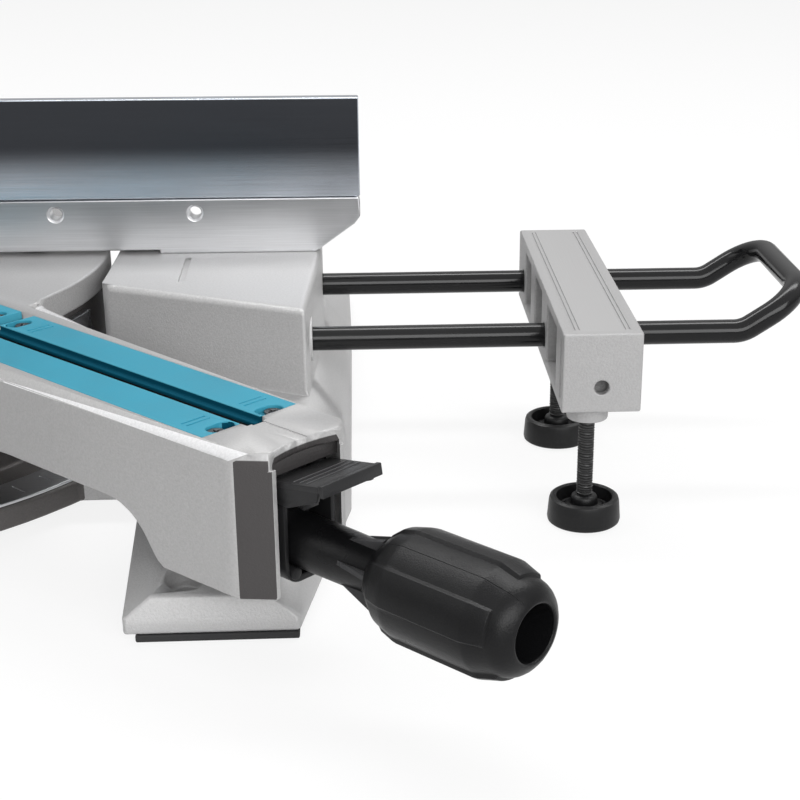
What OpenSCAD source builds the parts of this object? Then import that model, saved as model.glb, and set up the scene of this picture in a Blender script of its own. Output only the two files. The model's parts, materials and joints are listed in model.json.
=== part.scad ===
// Sliding mitre saw, drawn with the turntable swung to the right and the head up.
// Origin: the turntable's axis at bench level. +X right, +Y back, +Z up, fence face at Y = 0.

/* [Table] */
// height of the table top above the bench
table_h = 100; // [98:0.5:103]
// radius of the turntable disc
disc_r = 164; // [160:1:166]
// mitre angle of the turntable at rest, to the right
mitre = 45; // [42:1:48]
// distance of the table's end edge from the centre
end_x = 278.5; // [276:0.5:281]
// place of the table's front wall at its inner end
wall_start = -58; // [-60:0.5:-56]
// height of the arch under the table block
block_z = 57; // [54:0.5:57]
// radius of a bench bolt hole
bench_r = 4.25; // [3.5:0.25:5]
// thickness of the rubber pads under the feet
pad_t = 3.5; // [3:0.5:5]

/* [Fence] */
// height of the lower fence's top above the bench
fence_top = 129.3; // [127:0.1:131]
// half the length of the fence
fence_half = 300; // [295:1:305]
// thickness of the fence plate
fence_t = 11; // [9:0.5:12]
// height of the upper fence's top above the bench
upper_top = 182; // [178:1:190]
// distance of the right upper fence's inner end from the centre
upper_in = 62; // [58:1:80]

/* [Wings] */
// radius of a wing rod
rod_r = 6; // [5:0.25:6.5]
// height of the rod axes
rod_z = 76.5; // [75:0.5:78]
// position of the front rod
rod_front = -79.5; // [-80.5:0.5:-78]
// position of the rear rod
rod_rear = 17.9; // [16:0.1:19]
// distance of the support block's middle from the centre
block_x = 409.1; // [402:0.1:416]
// width of the support block
block_w = 37.3; // [35:0.1:40]
// height of the support block
block_h = 38.6; // [37:0.1:39]
// front end of the support block
block_y0 = -152.3; // [-156:0.1:-148]
// rear end of the support block
block_y1 = 40.2; // [38:0.1:46]
// thread radius of a levelling foot
foot_thread_r = 4; // [3.5:0.25:4.5]
// radius of a levelling foot's pad
foot_pad_r = 17.8; // [16:0.2:19]

/* [Arm] */
// length of the turntable's front arm from the centre
arm_len = 391; // [388:1:396]
// half width of the arm at its root
arm_root = 38; // [36:0.5:39]
// half width of the arm at its front
arm_tip = 28.2; // [27.5:0.1:29.5]
// wall thickness of the arm
arm_wall = 6; // [5:0.5:6.5]
// height of the arm's underside at its front
arm_low = 38.5; // [38:0.5:40]
// half width of the pair of kerf boards
board_half = 25; // [23:0.5:26]
// half width of the kerf between the boards
kerf_half = 5.4; // [5:0.1:6]
// thickness of the kerf boards
board_t = 4; // [3:0.5:4.5]
// radius of the grip knob
knob_r = 22.6; // [21:0.1:24]
// radius of the grip's shaft
shaft_r = 11; // [10:0.1:12]

/* [Blade] */
// radius of the saw blade
blade_r = 130; // [126:1:131]
// thickness of the saw blade's teeth
blade_t = 2.6; // [2:0.1:3]
// number of saw teeth
blade_teeth = 48; // [36:4:60]
// turn of the head from its lowest place to its highest
lift = 40; // [38:1:42]

/* [Slide] */
// radius of a slide rail
rail_r = 12.5; // [11:0.5:13]
// length of the slide rails
rail_len = 440; // [430:5:460]
// distance between the slide rails
rail_gap = 64; // [62:1:66]

/* [Motor] */
// radius of the motor housing
motor_r = 44; // [43:0.5:46]
// length of the motor housing
motor_len = 120; // [116:1:126]
// number of teeth of the spindle gear
gear_n = 48; // [48:1:48]
// number of teeth of the motor pinion
pinion_n = 12; // [12:1:12]
// gear module
gear_m = 1.5; // [1.5:0.05:1.5]

/* [Hidden] */
$fn = 64;
rim = disc_r + 2;
fit = 0.06;
gap = 0.3;
block_in = 168.6;
corner_r = 7;
wall_k = -0.478;
wall_n = [-wall_k, 1] / sqrt(1 + wall_k * wall_k);
corner = [block_in + corner_r, wall_start + wall_k * corner_r + corner_r * sqrt(1 + wall_k * wall_k)];
wall_a = corner - corner_r * wall_n;
wall_x = end_x - 6.5;
wall_y = wall_start + wall_k * (wall_x - block_in);
table_back = 40;
bench = [221, 235];
rod_in = 240;
rear_rod_in = 186;
loop_x = 490;
foot_x = block_x - 4;
foot_front = -136;
foot_back = -28;
block_z0 = table_h - block_h;
bow_in = 118;
board_z = table_h - board_t;
disc_z = table_h - 14;
slot_a = 362.4;
slot_b = 124;
hinge = [165, table_h + 162];
arbor_low = [10, table_h - 12 + blade_r];
arbor_rel = arbor_low - hinge;
rail_mid = 32;
rail_z = hinge[1];
gear_d = gear_m * (gear_n + pinion_n) / 2;
motor_a = 64;
motor_yz = gear_d * [cos(motor_a), sin(motor_a)];
guard_r = blade_r + 6;
case_r = guard_r + 4;

// piece to draw, or all of them

// a cylinder along X from x0 to x1
module rodx(r, x0, x1) translate([x0, 0, 0]) rotate([0, 90, 0]) cylinder(r = r, h = x1 - x0);
// a cylinder along Y from y0 to y1
module rody(r, y0, y1) translate([0, y0, 0]) rotate([-90, 0, 0]) cylinder(r = r, h = y1 - y0);
// a block between two corners
module block(a, b) translate(a) cube(b - a);
// a flat outline raised between two heights
module slab(z0, z1) translate([0, 0, z0]) linear_extrude(z1 - z0) children();
// an outline in a side view, drawn as (distance, height), spread across its width
module side(x0, x1) translate([x0, 0, 0]) rotate([90, 0, 90]) linear_extrude(x1 - x0) children();
// the turntable's own directions: its front arm lies along -Y before the turn
module tt() rotate([0, 0, mitre]) children();
// along the arm: X runs outwards from the centre, Y to the arm's right
module arm() tt() rotate([0, 0, -90]) children();
// the head lifted about its hinge, with the blade's centre as origin
module head() tt() translate([0, hinge[0], hinge[1]]) rotate([-lift, 0, 0])
  translate([0, arbor_rel[0], arbor_rel[1]]) children();
// both sides of the saw
module both() {
  children();
  mirror([1, 0, 0]) children();
}

// outline of the right half of the table
module table_plan() difference() {
  union() {
    polygon([[block_in, corner[1]], wall_a, [wall_x, wall_y], [end_x, -3], [end_x, table_back],
      [block_in, table_back]]);
    translate(corner) circle(corner_r);
  }
  circle(rim);
}
// outline of a leg pair at bench level
module leg_plan() polygon([[196, -250], [270, -250], [279, -200], [286, -161], [292, -130],
  [294, 130], [293, 238], [286, 250], [196, 250]]);
// right half of the base casting, without its bores
module base_half() {
  difference() {
    union() {
      slab(block_z - 4, table_h) table_plan();
      hull() {
        slab(pad_t, pad_t + 7) leg_plan();
        slab(pad_t, 19.5) polygon([[207.5, -246], [257.6, -246], [257.6, 246], [207.5, 246]]);
        slab(30, 40) polygon([[200, -92], [288, -88], [291, 60], [200, 60]]);
        slab(block_z - 7, block_z) polygon([[196, -72], [wall_x, wall_y], [end_x, -3], [end_x, 60],
          [196, 60]]);
      }
      slab(8, 20) square([212, 120]);
      translate([0, -120, 0]) slab(8, 20) square([212, 120]);
    }
    hull() {
      slab(-1, 1) polygon([[206, -200], [262, -200], [282, -125], [284, 125], [262, 200], [206, 200]]);
      slab(40, 48) polygon([[206, -70], [262, -95], [266, 50], [206, 50]]);
    }
    slab(40, table_h - 9) polygon([[183, wall_start], [wall_x - 7, wall_y + 12],
      [end_x - 8, -3], [end_x - 8, table_back - 8], [180, table_back - 8], [180, -50]]);
    translate([0, 0, block_z + 0.5]) cylinder(r = rim, h = 60);
    slab(table_h - 1, table_h + 1) union() {
      translate([206.7, -53.5]) square([3, 43]);
      for (y = [-53.5, -10.5]) translate([208.2, y]) circle(1.5);
    }
  }
  translate([0, rod_front, rod_z]) rodx(rod_r + 5, rod_in + 8, end_x - 4);
  translate([0, rod_rear, rod_z]) rodx(rod_r + 5, rear_rod_in + 4, end_x - 4);
  translate([235, rod_rear, rod_z]) rody(9, 4, table_back - rod_rear + 4);
}
module base_casting() color("#b9bcc0") difference() {
  union() {
    both() base_half();
    slab(8, 20) circle(200, $fn = 128);
    slab(8, disc_z - gap) difference() {
      circle(disc_r - 4, $fn = 128);
      circle(disc_r - 18, $fn = 128);
    }
    slab(8, 60 - gap) circle(34);
  }
  both() {
    translate([0, rod_front, rod_z]) rodx(rod_r + fit, rod_in - 2, end_x + 9);
    translate([0, rod_rear, rod_z]) rodx(rod_r + fit, rear_rod_in - 12, end_x + 9);
    translate([235, rod_rear, rod_z]) rody(4 + fit, 0, 40);
    for (s = [-1, 1]) translate([bench[0], s * bench[1], 0]) {
      translate([0, 0, -1]) cylinder(r = bench_r, h = 60);
      translate([0, 0, 14]) cylinder(r = 8, h = 40);
    }
    for (x = [185, 262]) translate([x, fence_t + 16, table_h - 20]) cylinder(r = 3.3, h = 40);
  }
  translate([0, 0, 12]) cylinder(r = 8 + fit, h = 60);
}
// rubber pads under the four feet, with the bench holes through them
module base_pads() color("#1b1b1c") both() for (s = [-1, 1]) difference() {
  slab(0, pad_t) polygon([[201, s * 249.8], [269.5, s * 249.8], [269.5, s * 218], [201, s * 218]]);
  translate([bench[0], s * bench[1], -1]) cylinder(r = bench_r, h = pad_t + 2);
}
// one half of the lower fence: plate, sloped lower corner, flange and its part of the bow
module fence_half_plate() {
  translate([0, fence_t, 0]) rotate([90, 0, 0]) linear_extrude(fence_t) polygon([[58, table_h + 2],
    [192, table_h + 2], [192, table_h], [fence_half - 24, table_h], [fence_half - 3, 115],
    [fence_half, 119], [fence_half, fence_top - 2], [fence_half - 2, fence_top], [58, fence_top]]);
  block([172, fence_t - 1, table_h], [274, table_back - 2, table_h + 9]);
  block([192, fence_t - 1, table_h], [200, table_back - 6, table_h + 11]);
  block([246, fence_t - 1, table_h], [254, table_back - 6, table_h + 11]);
}
module lower_fence() color("#c6c9cc") difference() {
  union() {
    both() fence_half_plate();
    slab(table_h + 2, fence_top - 3) difference() {
      circle(bow_in + 12, $fn = 128);
      circle(bow_in, $fn = 128);
      translate([-200, -400]) square(400);
    }
    both() block([58, 0, table_h + 2], [bow_in + 8, fence_t, fence_top]);
  }
  both() for (x = [138.5, 212]) translate([x, 0, fence_top - 7.3]) {
    rody(3.25, -1, fence_t + 12);
    translate([0, -0.01, 0]) rotate([-90, 0, 0]) cylinder(r1 = 4.6, r2 = 3.2, h = 1.4);
  }
  both() for (x = [185, 262]) translate([x, fence_t + 16, 90]) cylinder(r = 3.3, h = 60);
  slab(table_h, fence_top + 1) circle(56);
}
// screws that hold the fence to the table
module fence_bolts() color("#8d9094") both() for (x = [185, 262])
  translate([x, fence_t + 16, table_h + 9]) {
    cylinder(r = 5.5, h = 4.2);
    translate([0, 0, -26]) cylinder(r = 3, h = 26.5);
  }
// steel ring round the turntable's seat, notched for the mitre stops
module detent_ring() color("#84878b") difference() {
  slab(66, 82) difference() {
    circle(disc_r + 0.3, $fn = 128);
    circle(disc_r - 3.7, $fn = 128);
    translate([-200, -40]) square(400);
  }
  for (a = [-47, -31.6, -22.5, -15, 0, 15, 22.5, 31.6, 45, 57]) rotate([0, 0, a])
    block([-2.7, -disc_r - 5, 65], [2.7, -disc_r + 1.7, 83]);
}
// thin arc plate with the mitre divisions, on the base's front ring
module mitre_scale() color("#a9adb2") difference() {
  slab(20, 21.5) difference() {
    circle(199, $fn = 128);
    circle(178, $fn = 128);
    translate([-300, -60]) square(600);
  }
  for (a = [-50:5:60]) rotate([0, 0, a]) block([-0.3, -194, 21], [0.3, -184, 22]);
}
// centre bolt of the turntable, under the kerf boards
module pivot_bolt() color("#7d8084") {
  translate([0, 0, 13]) cylinder(r = 8, h = 60);
  translate([0, 0, 72.3]) cylinder(r = 12, h = 8, $fn = 6);
}
// thumb screw that holds the rear rod, from behind the table
module rod_clamp() translate([235, rod_rear, rod_z]) {
  rody(4, rod_r + 0.3, table_back - rod_rear + 8);
  rody(11, table_back - rod_rear + 5, table_back - rod_rear + 19);
  for (a = [0:60:300]) rotate([0, a, 0]) translate([10, 0, 0])
    rody(2.6, table_back - rod_rear + 5, table_back - rod_rear + 19);
}
module right_rod_clamp() color("#202022") rod_clamp();
module left_rod_clamp() color("#202022") mirror([1, 0, 0]) rod_clamp();
// sliding upper fence: plate with a sloped inner end and a clamped tongue behind
module upper_fence(inner) {
  z0 = fence_top + gap;
  difference() {
    union() {
      translate([0, 9, 0]) rotate([90, 0, 0]) linear_extrude(8) polygon([[inner, z0],
        [fence_half, z0], [fence_half, upper_top], [inner + 30, upper_top]]);
      block([inner + 82, 5, z0], [inner + 130, fence_t + 9, z0 + 12]);
      block([inner + 82, fence_t + gap, fence_top - 8.5], [inner + 130, fence_t + 9, z0 + 6]);
    }
    translate([inner + 106, 0, fence_top - 4.3]) rody(3 + fit, fence_t - 1, fence_t + 12);
  }
}
module right_upper_fence() color("#d3d6d9") upper_fence(upper_in);
module left_upper_fence() color("#d3d6d9") mirror([1, 0, 0]) upper_fence(upper_in + 80);
// clamp screw of an upper fence
module fence_knob(inner) translate([inner + 106, 0, fence_top - 4.3]) {
  rody(3, fence_t + gap, fence_t + 12);
  difference() {
    rody(11, fence_t + 9.5, fence_t + 22);
    for (a = [0:45:315]) rotate([0, a, 0]) translate([12, 0, 0]) rody(2.4, 0, 40);
  }
}
module right_fence_knob() color("#1d1d1f") fence_knob(upper_in);
module left_fence_knob() color("#1d1d1f") mirror([1, 0, 0]) fence_knob(upper_in + 80);

// a round tube through a list of points, as one closed skin
function unit(v) = v / norm(v);
function dirs(p) = [for (i = [0:len(p) - 1]) unit(p[min(i + 1, len(p) - 1)] - p[max(i - 1, 0)])];
function ring_at(c, d, r, n, up) = let (a = unit(cross(up, d)), b = cross(d, a))
  [for (k = [0:n - 1]) c + r * (cos(360 * k / n) * a + sin(360 * k / n) * b)];
module tube(p, r, n, up) {
  d = dirs(p);
  m = len(p);
  pts = [for (i = [0:m - 1]) each ring_at(p[i], d[i], r, n, up)];
  walls = [for (i = [0:m - 2]) for (k = [0:n - 1]) let (q = (k + 1) % n)
    [i * n + k, (i + 1) * n + k, (i + 1) * n + q, i * n + q]];
  polyhedron(points = pts, faces = concat(walls, [[for (k = [0:n - 1]) k]],
    [[for (k = [n - 1:-1:0]) (m - 1) * n + k]]), convexity = 6);
}
// the raised loop that joins the two rods at their outer ends
function loop_half(y, s) = [[loop_x - 6, y, rod_z], [loop_x, y, rod_z], [loop_x + 4, y, rod_z + 1.4],
  [loop_x + 18, y, rod_z + 10.6], [loop_x + 24, y + s * 3, rod_z + 14.6],
  [loop_x + 28.5, y + s * 7.5, rod_z + 17.4], [loop_x + 31, y + s * 13, rod_z + 19],
  [loop_x + 32, y + s * 20, rod_z + 19.6]];
function turned(v) = [for (i = [len(v) - 1:-1:0]) v[i]];
module wing_rods() {
  translate([0, rod_front, rod_z]) rodx(rod_r, rod_in, loop_x - 2);
  translate([0, rod_rear, rod_z]) rodx(rod_r, rear_rod_in, loop_x - 2);
  tube(concat(loop_half(rod_front, 1), turned(loop_half(rod_rear, -1))), rod_r - 0.03, 20, [0, 0, 1]);
}
module right_rods() color("#101012") wing_rods();
module left_rods() color("#101012") mirror([1, 0, 0]) wing_rods();
// work support on the rods: a block, ribbed and open on its inner side
module support() {
  x0 = block_x - block_w / 2;
  x1 = block_x + block_w / 2;
  pockets = [[block_y0 + 5, foot_front - 7], [foot_front + 8.5, rod_front - rod_r - 5],
    [rod_front + rod_r + 5, foot_back - 8.5], [foot_back + 8.5, rod_rear - rod_r - 5]];
  difference() {
    union() {
      block([x0, block_y0, block_z0], [x1, block_y1, table_h]);
      for (y = [foot_front, foot_back]) translate([foot_x, y, block_z0 - 8]) cylinder(r = 9.9, h = 9);
    }
    for (p = pockets) block([x0 - 1, p[0], block_z0 + 5], [x1 - 6, p[1], table_h - 5]);
    for (y = [rod_front, rod_rear]) translate([0, y, rod_z]) rodx(rod_r + fit, x0 - 1, x1 + 1);
    for (y = [foot_front, foot_back]) translate([foot_x, y, block_z0 - 9])
      cylinder(r = foot_thread_r + fit, h = block_h + 3);
    for (x = [x0 + 5.5, x0 + 7.5, x1 - 6.3, x1 - 8.3])
      block([x, block_y0 + 6, table_h - 0.5], [x + 0.8, block_y1 - 6, table_h + 1]);
    translate([block_x, 0, table_h - 26.3]) rody(3.35, block_y0 - 1, block_y0 + 10);
  }
}
module right_support() color("#babdc1") support();
module left_support() color("#babdc1") mirror([1, 0, 0]) support();
// levelling foot: threaded stem with a cup pad
module foot(y) translate([foot_x, y, 0]) {
  translate([0, 0, 8]) cylinder(r = foot_thread_r, h = table_h - 28);
  rotate_extrude() polygon([[0, 1.5], [foot_pad_r - 5, 1.5], [foot_pad_r - 3.5, 0], [foot_pad_r - 1, 0],
    [foot_pad_r, 2], [foot_pad_r - 0.8, 11], [foot_pad_r - 2.3, 13], [foot_pad_r - 4.2, 12.7],
    [foot_pad_r - 5.4, 6], [9.8, 6], [9.2, 8.4], [6.4, 9], [6.4, 12.4], [5.4, 13.6], [0, 13.6]]);
}
module right_foot_front() color("#151516") foot(foot_front);
module right_foot_rear() color("#151516") foot(foot_back);
module left_foot_front() color("#151516") mirror([1, 0, 0]) foot(foot_front);
module left_foot_rear() color("#151516") mirror([1, 0, 0]) foot(foot_back);

// half widths of the arm along its length
arm_hw = [[150, arm_root + 1.5], [169, arm_root], [238, arm_root - 5], [277, arm_root - 5.8],
  [373, arm_tip + 0.5], [arm_len - 11.5, arm_tip], [arm_len, arm_tip - 9.2]];
function both_sides(v, w) = concat([for (p = v) [p[0], p[1] - w]],
  [for (i = [len(v) - 1:-1:0]) [v[i][0], w - v[i][1]]]);
// bevelled top edge of the arm, on the side given by s
module arm_edge(s) {
  a = atan2(arm_root - 5 - arm_tip, arm_len - 8.3 - 238);
  translate([238, s * (arm_root - 5), table_h]) rotate([0, 0, -s * a]) translate([-75, 0, 0])
    rotate([45, 0, 0]) block([0, -2.6, -2.6], [arm_len - 238 + 80, 2.6, 2.6]);
}
module arm_body() intersection() {
  slab(30, table_h) polygon(both_sides(arm_hw, 0));
  rotate([90, 0, 0]) linear_extrude(120, center = true) polygon([[150, disc_z], [168, disc_z],
    [168, 61.6], [302, 61.6], [308, 61], [312.5, 59.8], [316.5, 58], [320, 55.6], [323.4, 52.4],
    [326.6, 48.4], [329.6, 44], [332.6, 40.6], [336, arm_low],
    [arm_len, arm_low], [arm_len, table_h], [150, table_h]]);
}
module arm_hollow() {
  slab(20, table_h - 10) polygon(both_sides([[180, arm_root - 1], [238, arm_root - 5],
  [277, arm_root - 5.8], [373, arm_tip + 0.5], [arm_len - 8.3, arm_tip],
  [arm_len + 2, arm_tip - 6.7]], arm_wall));
  slab(table_h - 12, table_h - 6) polygon(both_sides([[367, arm_tip + 0.7], [373, arm_tip + 0.5],
    [arm_len - 8.3, arm_tip], [arm_len + 2, arm_tip - 6.7]], arm_wall));
}
module turntable() color("#b4b7bb") difference() {
  union() {
    slab(disc_z, table_h) circle(disc_r, $fn = 128);
    slab(60, disc_z + 1) circle(30);
    arm() difference() {
      arm_body();
      arm_hollow();
      for (s = [-1, 1]) arm_edge(s);
    }
    arm() block([170, -15, 48], [177, 15, 91]);
    tt() {
      block([-34, 150, disc_z], [34, 189.7, table_h]);
      block([-34, 166, 62], [34, 189.7, disc_z + 1]);
      translate([0, 0, table_h]) rody(40, 177, 189.7);
    }
  }
  arm() {
    block([-slot_b, -board_half - gap, board_z], [358.7, board_half + gap, table_h + 60]);
    block([-slot_b - 4, -kerf_half, disc_z - 3], [slot_a, kerf_half, table_h + 60]);
    block([358, -3, table_h - 0.6], [arm_len + 1, 3, table_h + 1]);
    translate([arm_len + 56, 0, table_h - 7]) cylinder(r = 60, h = 9);
    translate([0, 0, 57]) rodx(5 + fit, 165, 182);
    translate([0, 0, 74]) rodx(2.5 + fit, 165, 182);
    for (r = [355, 184, 164, -114]) for (s = [-1, 1]) translate([r, s * 15, disc_z + 1])
      cylinder(r = 2.1, h = 20);
  }
  translate([0, 0, 50]) cylinder(r = 8 + fit, h = 60);
  translate([0, 0, 72]) cylinder(r = 14, h = 40);
  tt() translate([0, 0, table_h]) rody(9 + fit, 160, 200);
}
// section of a kerf board, with the lower lip beside the kerf
module board_cut() polygon([[2.3, board_z], [board_half, board_z], [board_half, table_h],
  [kerf_half, table_h], [kerf_half, board_z + 1.7], [2.3, board_z + 1.7]]);
// kerf boards: a front pair on the arm and a long pair across the disc
module kerf_boards() color("#4aa8c2") arm() difference() {
  for (s = [0, 1]) mirror([0, s, 0]) {
    side(179.5, 358.4) board_cut();
    side(-slot_b + 0.4, 169) board_cut();
  }
  for (r = [355, 184, 164, -114]) for (s = [-1, 1]) translate([r, s * 15, board_z]) {
    translate([0, 0, -1]) cylinder(r = 2.1, h = 20);
    translate([0, 0, 1]) cylinder(r = 4, h = 20);
    translate([0, -s * 4.5, 1]) cylinder(r = 4, h = 20);
    translate([-4, -2.25 - s * 2.25, 1]) cube([8, 4.5, 20]);
  }
  for (r = [344, 341, 196, 199]) for (s = [-1, 1])
    block([r, s * 15 - 6, table_h - 0.5], [r + 1, s * 15 + 6, table_h + 1]);
}
// screws of the kerf boards
module table_screws() color("#3a3b3d") arm() for (r = [355, 184, 164, -114]) for (s = [-1, 1])
  translate([r, s * 15, board_z]) difference() {
    union() {
      translate([0, 0, 1]) cylinder(r = 3.6, h = 1.8);
      translate([0, 0, -8.5]) cylinder(r = 2, h = 10);
    }
    block([-2.4, -0.5, 1.8], [2.4, 0.5, 4]);
    block([-0.5, -2.4, 1.8], [0.5, 2.4, 4]);
  }
// plate in the arm's mouth that carries the grip and the lever's ears
module front_plate() color("#161617") arm() difference() {
  union() {
    block([372, gap + arm_wall - arm_tip, arm_low + 1], [378, arm_tip - arm_wall - gap, table_h - 6.4]);
    block([377, -14.6, arm_low + 3], [390.6, 14.6, 80]);
    for (s = [0, 1]) mirror([0, s, 0]) block([377, 10.2, 78], [393, 13.2, table_h - 10.3]);
  }
  translate([0, 0, 57]) rodx(5 + fit, 370, 380);
  translate([0, 0, 57]) rodx(13.4, 378, 400);
  translate([0, 0, 74]) rodx(2.5 + fit, 370, 390);
  translate([389.5, 0, 85]) rody(2 + fit, -20, 20);
  block([383, -5, 71.4], [400, 5, 84]);
  block([384, -10, 79], [400, 10, 84]);
}
module lever_pin() color("#6f7276") arm() translate([389.5, 0, 85]) rody(2, -13.2, 13.2);
// lever under the arm's lip; its tail drives the detent plunger
module detent_lever() color("#18181a") arm() translate([389.5, 0, 85]) difference() {
  union() {
    rody(4.4, -9.9, 9.9);
    rotate([0, -10, 0]) {
      block([0.5, -9, 0.4], [8, 9, 3]);
      block([5, -15.7, 0], [25.2, 15.7, 3]);
      for (s = [0, 1]) mirror([0, s, 0]) block([4.2, 13.6, -8.5], [20.3, 15.4, 1.1]);
      for (s = [0, 1]) mirror([0, s, 0]) block([-3, 13.7, -4], [6, 15.3, 2.8]);
      block([22.5, -15.2, -1.6], [24.9, 15.2, 2]);
      for (x = [9:2.5:19]) block([x, -14.6, 2], [x + 0.8, 14.6, 3.4]);
    }
    block([-0.8, -4, -13], [2.2, 4, -1]);
  }
  rody(2 + fit, -20, 20);
}
module detent_plunger() color("#94979b") arm() translate([0, 0, 74]) rodx(2.5, disc_r + 0.8, 388.4);
// grip: shaft, flared collar, fluted body and a hollow end
module grip_knob() color("#141415") arm() translate([0, 0, 57]) difference() {
  union() {
    rotate([0, 90, 0]) rotate_extrude() polygon([[5.05, 378.3], [13, 378.3], [13, 383], [shaft_r, 386],
      [shaft_r, 430], [16, 434], [knob_r - 1, 440], [knob_r, 442], [knob_r, 481], [knob_r - 2, 495],
      [knob_r - 3.8, 498.6], [knob_r - 6.2, 500.9], [knob_r - 9, 502.5], [11, 503], [11, 476], [5.05, 476]]);
    for (a = [0:90:270]) rotate([a + 90, 0, 0]) linear_extrude(2.4, center = true)
      polygon([[412, 9], [436, 9], [436, 17]]);
  }
  for (a = [0:90:270]) rotate([a + 24, 0, 0])
    block([432, -6.6, knob_r - 1.5], [491.6, 6.6, knob_r + 3]);
}
module grip_rod() color("#9a9da1") arm() translate([0, 0, 57]) rodx(5, disc_r - 3.4, 440);

// swivelling column: pivot disc, upright and the block for the slide rails
module bevel_arm() color("#b7babe") tt() difference() {
  union() {
    translate([0, 0, table_h]) rody(40, 190, 222);
    translate([0, 250, 0]) rotate([90, 0, 0]) linear_extrude(38) polygon([[-30, table_h + 18],
      [36, table_h + 18], [56, rail_z - 60], [86, rail_z - 24], [86, rail_z], [-22, rail_z],
      [-22, rail_z - 24], [-30, rail_z - 60]]);
    block([rail_mid - rail_gap / 2 - 22, 215, rail_z - 24], [rail_mid + rail_gap / 2 + 22, 295, rail_z + 24]);
  }
  translate([0, 0, table_h]) rody(9 + fit, 180, 260);
  for (s = [-1, 1]) translate([rail_mid + s * rail_gap / 2, 0, rail_z]) rody(rail_r + 3.5, 210, 300);
  translate([0, 255, rail_z]) rodx(4 + fit, rail_mid + rail_gap / 2 + 10, rail_mid + rail_gap / 2 + 30);
}
module bevel_bolt() color("#85888c") tt() translate([0, 0, table_h]) {
  rody(9, 162, 250);
  rotate([0, 30, 0]) translate([0, 238, 0]) rotate([-90, 0, 0]) cylinder(r = 15, h = 9, $fn = 6);
}
// linear bushes for the rails, in the column's block
module rail_bushes() color("#c2a765") tt() for (s = [-1, 1]) for (y = [215, 265])
  translate([rail_mid + s * rail_gap / 2, 0, rail_z]) difference() {
    rody(rail_r + 3.45, y, y + 30);
    rody(rail_r + fit, y - 1, y + 31);
  }
// lever of the bevel lock, behind the column
module bevel_lever() color("#19191b") tt() translate([0, 0, table_h]) difference() {
  union() {
    rody(15, 223, 237);
    rotate([0, 12, 0]) block([8, 225, -7], [74, 235, 7]);
    rotate([0, 12, 0]) translate([74, 0, 0]) rody(9, 223, 237);
  }
  rody(9 + fit, 200, 260);
}
// thumb screw that holds the rails
module slide_lock() color("#19191b") tt() translate([rail_mid + rail_gap / 2, 255, rail_z]) difference() {
  union() {
    rodx(4, rail_r + 0.3, 34);
    rodx(14, 24, 38);
  }
  for (a = [0:45:315]) rotate([a, 0, 0]) translate([0, 15, 0]) rodx(3, 20, 40);
}
module slide_rails() color("#c9ccd0") tt() for (s = [-1, 1])
  translate([rail_mid + s * rail_gap / 2, 0, rail_z]) rody(rail_r, 190, 190 + rail_len);
module rail_end_cap() color("#1a1a1c") tt() difference() {
  block([rail_mid - rail_gap / 2 - 18, 182 + rail_len, rail_z - 18],
    [rail_mid + rail_gap / 2 + 18, 200 + rail_len, rail_z + 18]);
  for (s = [-1, 1]) translate([rail_mid + s * rail_gap / 2, 0, rail_z])
    rody(rail_r + 0.05, 170 + rail_len, 190.3 + rail_len);
}
// bracket on the front of the rails, with two ears for the head's hinge
module head_bracket() color("#b2b5b9") tt() difference() {
  union() {
    block([rail_mid - rail_gap / 2 - 18, 186, rail_z - 20], [rail_mid + rail_gap / 2 + 18, 206, rail_z + 20]);
    for (x = [-5, 49]) {
      translate([0, hinge[0], hinge[1]]) rodx(19, x, x + 20);
      block([x, hinge[0], hinge[1] - 19], [x + 20, 188, hinge[1] + 19]);
    }
  }
  for (s = [-1, 1]) translate([rail_mid + s * rail_gap / 2, 0, rail_z]) rody(rail_r + 0.05, 189.7, 210);
  translate([0, hinge[0], hinge[1]]) rodx(8 + fit, -10, 80);
  translate([0, hinge[0] + 9.2, hinge[1] + 9.2]) rodx(3 + fit, 40, 80);
}
module hinge_pin() color("#8b8e92") tt() translate([0, hinge[0], hinge[1]]) {
  rodx(8, -38, 71);
  rodx(11.5, -41, -37);
}
// torsion spring on the hinge pin that lifts the head
spring_n = 6;
spring_w = 1.5;
spring_p = 4.4;
echo(spring_gap = spring_p - 2 * spring_w);
module return_spring() color("#a2a5a9") tt() translate([-35, hinge[0], hinge[1]]) {
  steps = spring_n * 20;
  pts = [for (i = [0:steps]) [spring_w + spring_p * i / 20, 11 * cos(18 * i), 11 * sin(18 * i)]];
  tube(pts, spring_w, 8, [1, 0, 0]);
}
// fan-shaped outline between two angles, used to cut a round guard
module sector(a0, a1, r) polygon(concat([[0, 0]], [for (i = [0:12]) let (a = a0 + (a1 - a0) * i / 12)
  [r * cos(a), r * sin(a)]]));
// gear housing with the hinge lug, the guard's neck and the handle's seat
module gear_housing() color("#a8abb0") head() {
  hy = -arbor_rel[0];
  hz = -arbor_rel[1];
  difference() {
    union() {
      rodx(46, 15.3, 62);
      rodx(26, 7.6, 16);
      translate([0, motor_yz[0], motor_yz[1]]) rodx(34, 15.3, 62);
      side(17.3, 46.7) polygon([[-10, 30], [20, 60], [hy - 4, hz + 17.5], [hy + 6, hz], [hy - 4, hz - 17.5],
        [60, -20], [20, -40]]);
      translate([0, hy, hz]) rodx(18, 17.3, 46.7);
      side(22, 58) polygon([[-20, -36], [-58, -14], [-58, 56], [0, 50]]);
    }
    rodx(40.5, 30, 46);
    translate([0, motor_yz[0], motor_yz[1]]) rodx(13, 28, 46);
    translate([0, motor_yz[0], motor_yz[1]]) rodx(11, 45, 70);
    rodx(14.05, 18, 59);
    rodx(10, 5, 20);
    translate([0, hy, hz]) rodx(8 + fit, 10, 60);
    translate([0, -30, 0]) rodx(3 + fit, 44, 70);
  }
}
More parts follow.
